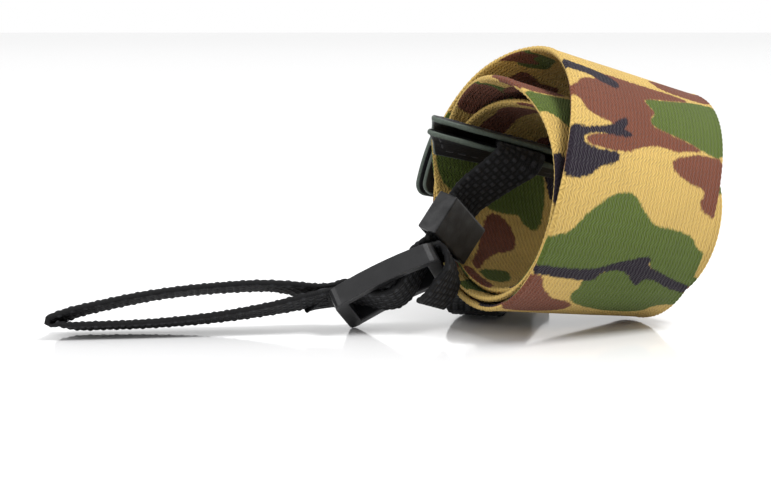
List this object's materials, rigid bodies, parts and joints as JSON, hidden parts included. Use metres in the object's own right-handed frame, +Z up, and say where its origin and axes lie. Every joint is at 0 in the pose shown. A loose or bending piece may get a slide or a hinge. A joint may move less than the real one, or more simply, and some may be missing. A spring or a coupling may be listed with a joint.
{
  "type": "camera neck strap",
  "caption": "Wide camouflage neck strap rolled into a coil, with leather end tabs and narrow webbing that runs through a keeper and an adjuster into a lug loop.",
  "frame": {"origin": "middle of the underside of the part's box, on the surface it lies on", "axes": "+X from the long lug loop toward the roll's far side, -Y toward the viewer of the picture, +Z up"},
  "size_m": [0.1246, 0.0858, 0.0528],
  "materials": {
    "camouflage": "ribbed woven polyester printed on both faces in sand, green, brown and dark purple",
    "tab_leather": "black coated leather with a raw grey-green cut edge",
    "webbing": "black coarse basket weave",
    "moulding": "black injection moulding, fine satin",
    "thread": "black polyester sewing thread"
  },
  "bodies": {
    "strap": {"neck_band": "camouflage", "tab_a_outer": "tab_leather", "tab_a_inner": "tab_leather", "tab_b_outer": "tab_leather", "tab_b_inner": "tab_leather", "edge_thread_a_outer": "thread", "edge_thread_a_inner": "thread", "box_thread_a_outer": "thread", "box_thread_a_inner": "thread", "edge_thread_b_outer": "thread", "edge_thread_b_inner": "thread", "box_thread_b_outer": "thread", "box_thread_b_inner": "thread", "webbing_b": "webbing"},
    "webbing_a": {"webbing_a": "webbing"},
    "keeper_a": {"keeper_a": "moulding"},
    "adjuster_a": {"adjuster_a": "moulding"},
    "keeper_b": {"keeper_b": "moulding"},
    "adjuster_b": {"adjuster_b": "moulding"}
  },
  "joints": [
    {"name": "webbing_a_flex", "type": "hinge", "parent": "strap", "child": "webbing_a", "pos_m": [0.02447, -0.01267, 0.03338], "axis": [-0.9039, -0.3352, 0.2657], "range_deg": [0, 60], "deforming": ["webbing_a"]},
    {"name": "keeper_a_slide", "type": "slide", "parent": "webbing_a", "child": "keeper_a", "axis": [-0.5315, -0.2862, -0.7972], "range_m": [-0.004, 0.0005], "deforming": ["webbing_a"]},
    {"name": "adjuster_a_slide", "type": "slide", "parent": "webbing_a", "child": "adjuster_a", "axis": [-0.8984, 0, -0.4392], "range_m": [0, 0.02], "deforming": ["webbing_a"]},
    {"name": "keeper_b_slide", "type": "slide", "parent": "strap", "child": "keeper_b", "axis": [0.0503, 0.7547, -0.6541], "range_m": [-0.002, 0.0005], "deforming": ["webbing_b"]},
    {"name": "adjuster_b_slide", "type": "slide", "parent": "strap", "child": "adjuster_b", "axis": [-0.2707, -0.9627, 0], "range_m": [-0.003, 0.0005], "deforming": ["webbing_b"]}
  ]
}
